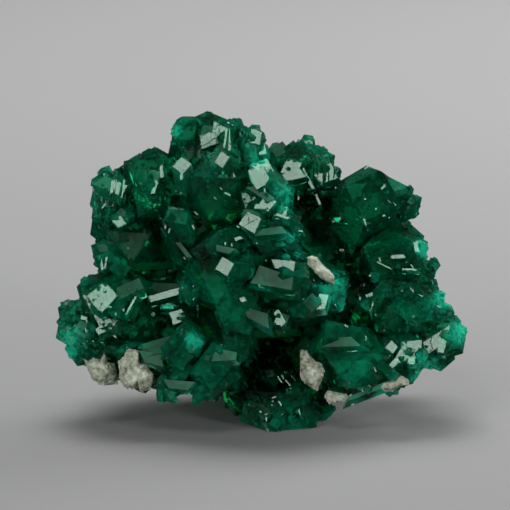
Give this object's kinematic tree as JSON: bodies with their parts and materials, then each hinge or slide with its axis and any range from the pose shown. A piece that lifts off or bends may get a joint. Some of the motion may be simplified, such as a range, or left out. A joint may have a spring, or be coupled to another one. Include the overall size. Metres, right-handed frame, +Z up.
{
  "type": "dioptase crystal cluster",
  "caption": "Hand specimen of intergrown emerald-green dioptase crystals with remnants of pale calcite, standing on a flat break.",
  "frame": {"origin": "under the middle of the bounding box, on the flat break that the specimen stands on", "axes": "+X to the right of the side seen in the picture, -Y out of that side, +Z up"},
  "size_m": [0.0588, 0.0336, 0.0439],
  "materials": {
    "dioptase": "deep emerald crystal, glossy flat faces",
    "calcite": "cream, sugary and matt"
  },
  "bodies": {
    "root": {"dioptase": "dioptase", "calcite_left_outer": "calcite", "calcite_left_inner": "calcite", "calcite_centre": "calcite", "calcite_ridge": "calcite", "calcite_under": "calcite", "calcite_right": "calcite"}
  },
  "joints": []
}
